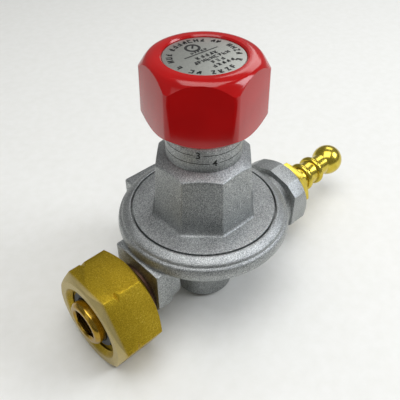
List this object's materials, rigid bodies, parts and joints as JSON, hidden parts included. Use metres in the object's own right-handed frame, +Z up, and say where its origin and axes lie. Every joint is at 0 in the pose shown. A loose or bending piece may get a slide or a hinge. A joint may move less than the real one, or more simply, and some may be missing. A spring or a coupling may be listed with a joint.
{
  "type": "adjustable gas pressure regulator",
  "caption": "Gas regulator with a round rimmed body, eight-sided bonnet tower, hexagon knob, union nut inlet and beaded hose nozzle outlet; the knob sets the pressure.",
  "frame": {"origin": "centre of the flat end of the closed bottom boss, on the knob's axis", "axes": "+Z up along the knob's axis, +X towards the hose nozzle, -X towards the union nut, +Y towards the blank side boss"},
  "size_m": [0.1239, 0.0607, 0.0861],
  "materials": {
    "cast_zinc": "sand-blasted die-cast zinc, silver-grey, slightly sparkling",
    "knob_plastic": "glossy red moulded plastic",
    "label_aluminium": "satin aluminium sheet",
    "plated_steel": "zinc-plated steel",
    "spring_steel": "drawn spring wire",
    "brass": "turned brass, lightly tarnished on the nut",
    "rubber": "matt nitrile rubber",
    "copper": "soft copper ring",
    "sintered_bronze": "porous sintered bronze",
    "sealing_fibre": "pressed fibre washer"
  },
  "bodies": {
    "regulator_body": {"body": "cast_zinc", "bonnet": "cast_zinc", "diaphragm": "rubber", "valve_seat": "brass", "seat_gasket": "copper", "valve_spring": "spring_steel", "inlet_tailpiece": "brass", "tailpiece_washer": "copper", "inlet_filter": "sintered_bronze", "inlet_seal": "rubber", "hose_nozzle": "brass", "nozzle_washer": "sealing_fibre", "adjusting_spring": "spring_steel"},
    "spring_plate": {"spring_seat": "plated_steel"},
    "knob_group": {"knob": "knob_plastic", "label_disc": "label_aluminium", "knob_screw": "plated_steel", "adjusting_screw": "brass"},
    "diaphragm_group": {"diaphragm_plate": "plated_steel", "backing_plate": "label_aluminium", "diaphragm_rivet": "brass"},
    "valve_group": {"valve_plug": "brass", "valve_pad": "rubber"},
    "union_nut": {"union_nut": "brass"}
  },
  "joints": [
    {"name": "knob_turn", "type": "hinge", "parent": "spring_plate", "child": "knob_group", "pos_m": [0, 0, 0.0344], "axis": [0, 0, 1], "range_deg": [-1170, 531]},
    {"name": "spring_seat_travel", "type": "slide", "parent": "regulator_body", "child": "spring_plate", "axis": [0, 0, 1], "range_m": [-0.0065, 0.00295], "deforming": ["adjusting_spring"]},
    {"name": "diaphragm_lift", "type": "slide", "parent": "regulator_body", "child": "diaphragm_group", "axis": [0, 0, 1], "range_m": [0, 0.0009], "stiffness_N_per_m": 200, "deforming": ["diaphragm"]},
    {"name": "valve_lift", "type": "slide", "parent": "regulator_body", "child": "valve_group", "axis": [0, 0, 1], "range_m": [0, 0.0009], "deforming": ["valve_spring"]},
    {"name": "union_nut_spin", "type": "hinge", "parent": "regulator_body", "child": "union_nut", "pos_m": [-0.0391, 0, 0.0144], "axis": [1, 0, 0], "continuous": true}
  ],
  "couplings": [
    {"joint": "knob_turn", "follows": "spring_seat_travel", "rad_per_m": 3141.6},
    {"joint": "valve_lift", "follows": "diaphragm_lift", "ratio": 1}
  ]
}
